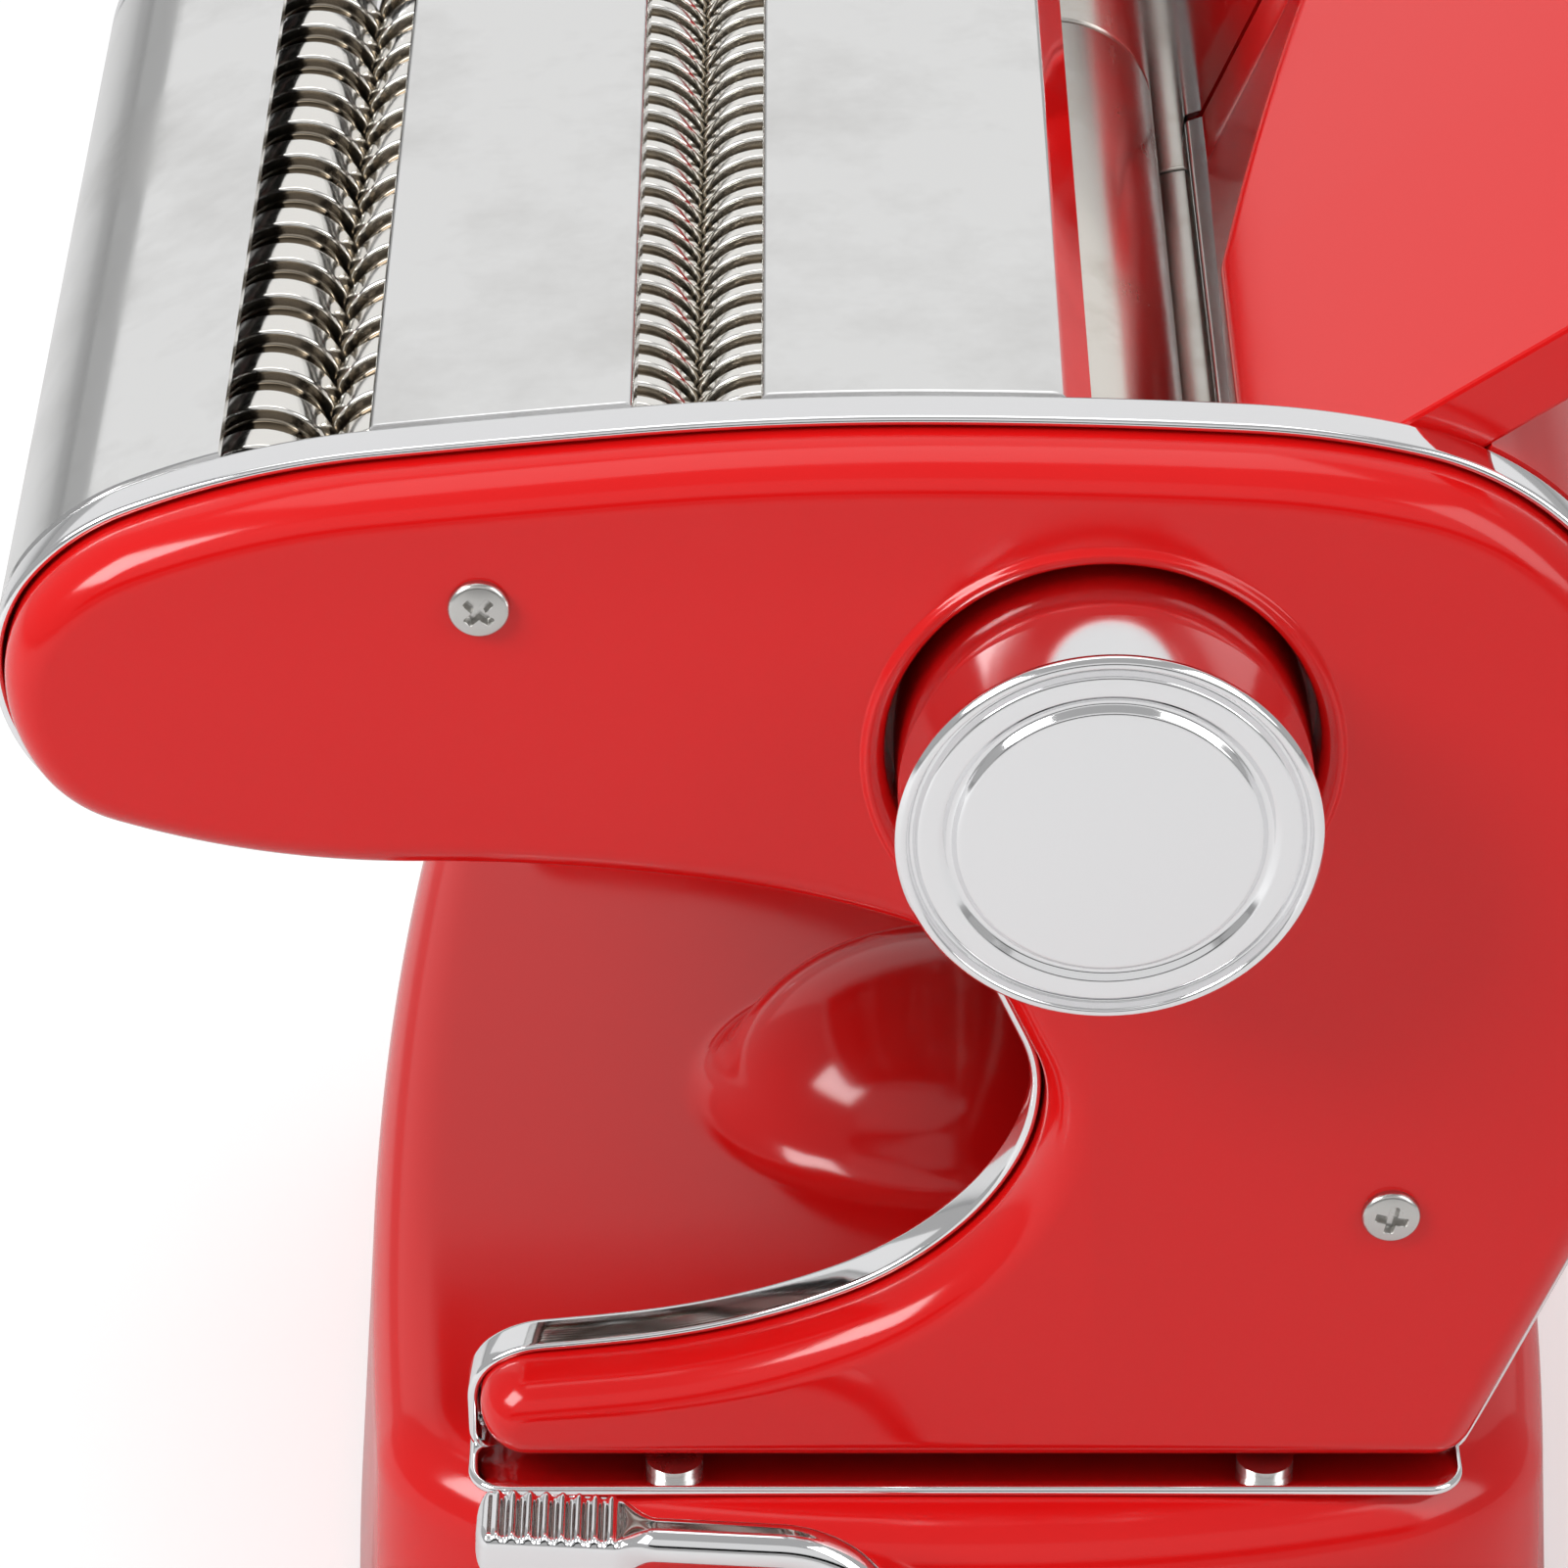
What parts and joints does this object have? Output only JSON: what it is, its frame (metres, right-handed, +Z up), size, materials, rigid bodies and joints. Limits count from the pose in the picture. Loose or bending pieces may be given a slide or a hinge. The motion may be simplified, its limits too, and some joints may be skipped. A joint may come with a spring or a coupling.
{
  "type": "pasta roller machine",
  "caption": "Hand-cranked pasta machine with dough rollers, wide and fine cutter rollers, a thickness knob, a sloping dough tray and a lever-operated suction base.",
  "frame": {"origin": "on the table under the middle of the base", "axes": "+Z up, +Y along the rollers from the thickness knob to the crank, +X towards the dough tray"},
  "size_m": [0.2069, 0.2869, 0.2242],
  "materials": {
    "chrome_plate": "bright chrome plate",
    "red_plastic": "glossy moulded red",
    "polished_steel": "mirror-polished stainless sheet",
    "roller_steel": "turned and polished steel",
    "gear_steel": "machined steel",
    "nylon": "natural nylon",
    "rubber": "soft black rubber",
    "grip_plastic": "glossy moulded red",
    "floor_plastic": "black moulded plastic"
  },
  "bodies": {
    "frame": {"near_end_plate": "chrome_plate", "far_end_plate": "chrome_plate", "near_cover": "red_plastic", "far_cover": "red_plastic", "near_cover_screws": "gear_steel", "far_cover_screws": "gear_steel", "near_foot_screws": "gear_steel", "far_foot_screws": "gear_steel", "near_rod_nuts": "gear_steel", "far_rod_nuts": "gear_steel", "near_bushes": "nylon", "far_bushes": "nylon", "tie_rods": "gear_steel", "left_top_plate": "polished_steel", "middle_top_plate": "polished_steel", "right_top_plate": "polished_steel", "dough_tray": "red_plastic", "back_cover": "red_plastic", "dough_scrapers": "nylon", "wide_cutter_combs": "nylon", "fine_cutter_combs": "nylon", "index_cup": "gear_steel", "base_shell": "red_plastic", "base_floor": "floor_plastic", "rubber_feet": "rubber"},
    "drive_roller": {"drive_roller": "roller_steel", "drive_gear": "gear_steel"},
    "gap_carriage": {"near_bearing_block": "nylon", "far_bearing_block": "nylon"},
    "adjustable_roller": {"adjustable_roller": "roller_steel", "adjustable_gear": "gear_steel"},
    "wide_cutter_drive": {"wide_cutter_drive_roller": "roller_steel", "wide_cutter_drive_gear": "gear_steel"},
    "wide_cutter_follower": {"wide_cutter_follower_roller": "roller_steel", "wide_cutter_follower_gear": "gear_steel"},
    "fine_cutter_drive": {"fine_cutter_drive_roller": "roller_steel", "fine_cutter_drive_gear": "gear_steel"},
    "fine_cutter_follower": {"fine_cutter_follower_roller": "roller_steel", "fine_cutter_follower_gear": "gear_steel"},
    "knob_shaft": {"knob_shaft": "gear_steel"},
    "knob_cap": {"knob_cap": "chrome_plate"},
    "crank": {"crank_arm": "chrome_plate", "grip_pin": "gear_steel"},
    "crank_grip": {"crank_grip": "grip_plastic"},
    "suction_lever": {"suction_lever": "chrome_plate", "lever_shaft": "gear_steel"},
    "suction_pad": {"suction_pad": "rubber", "suction_stem": "nylon"}
  },
  "joints": [
    {"name": "drive_spin", "type": "hinge", "parent": "frame", "child": "drive_roller", "pos_m": [0.0321, 0, 0.1363], "axis": [0, 1, 0], "continuous": true},
    {"name": "gap_slide", "type": "slide", "parent": "frame", "child": "gap_carriage", "axis": [0.6639, 0, -0.7478], "range_m": [0, 0.002]},
    {"name": "adjustable_spin", "type": "hinge", "parent": "gap_carriage", "child": "adjustable_roller", "pos_m": [0.01311, 0, 0.15769], "axis": [0, 1, 0], "continuous": true},
    {"name": "wide_cutter_spin", "type": "hinge", "parent": "frame", "child": "wide_cutter_drive", "pos_m": [-0.0648, 0, 0.1753], "axis": [0, 1, 0], "continuous": true},
    {"name": "wide_cutter_follow", "type": "hinge", "parent": "frame", "child": "wide_cutter_follower", "pos_m": [-0.0794, 0, 0.1753], "axis": [0, 1, 0], "continuous": true},
    {"name": "fine_cutter_spin", "type": "hinge", "parent": "frame", "child": "fine_cutter_drive", "pos_m": [-0.0236, 0, 0.1808], "axis": [0, 1, 0], "continuous": true},
    {"name": "fine_cutter_follow", "type": "hinge", "parent": "frame", "child": "fine_cutter_follower", "pos_m": [-0.0382, 0, 0.1808], "axis": [0, 1, 0], "continuous": true},
    {"name": "knob_turn", "type": "hinge", "parent": "frame", "child": "knob_shaft", "pos_m": [0.01378, 0, 0.15694], "axis": [0, 1, 0], "range_deg": [0, 120]},
    {"name": "knob_pull", "type": "slide", "parent": "knob_shaft", "child": "knob_cap", "axis": [0, -1, 0], "range_m": [0, 0.0045], "stiffness_N_per_m": 600, "springref_m": -0.003},
    {"name": "crank_pull", "type": "slide", "parent": "drive_roller", "child": "crank", "axis": [0, 1, 0], "range_m": [0, 0.03]},
    {"name": "grip_spin", "type": "hinge", "parent": "crank", "child": "crank_grip", "pos_m": [0.0321, 0, 0.0443], "axis": [0, 1, 0], "continuous": true},
    {"name": "lever_turn", "type": "hinge", "parent": "frame", "child": "suction_lever", "pos_m": [0, 0, 0.0317], "axis": [0, 1, 0], "range_deg": [0, 120]},
    {"name": "pad_lift", "type": "slide", "parent": "frame", "child": "suction_pad", "axis": [0, 0, 1], "range_m": [0, 0.004]}
  ],
  "couplings": [
    {"joint": "adjustable_spin", "follows": "drive_spin", "ratio": -1},
    {"joint": "wide_cutter_follow", "follows": "wide_cutter_spin", "ratio": -1},
    {"joint": "fine_cutter_follow", "follows": "fine_cutter_spin", "ratio": -1},
    {"joint": "knob_turn", "follows": "gap_slide", "rad_per_m": 1047.2},
    {"joint": "pad_lift", "follows": "lever_turn", "m_per_rad": 0.0019099}
  ]
}
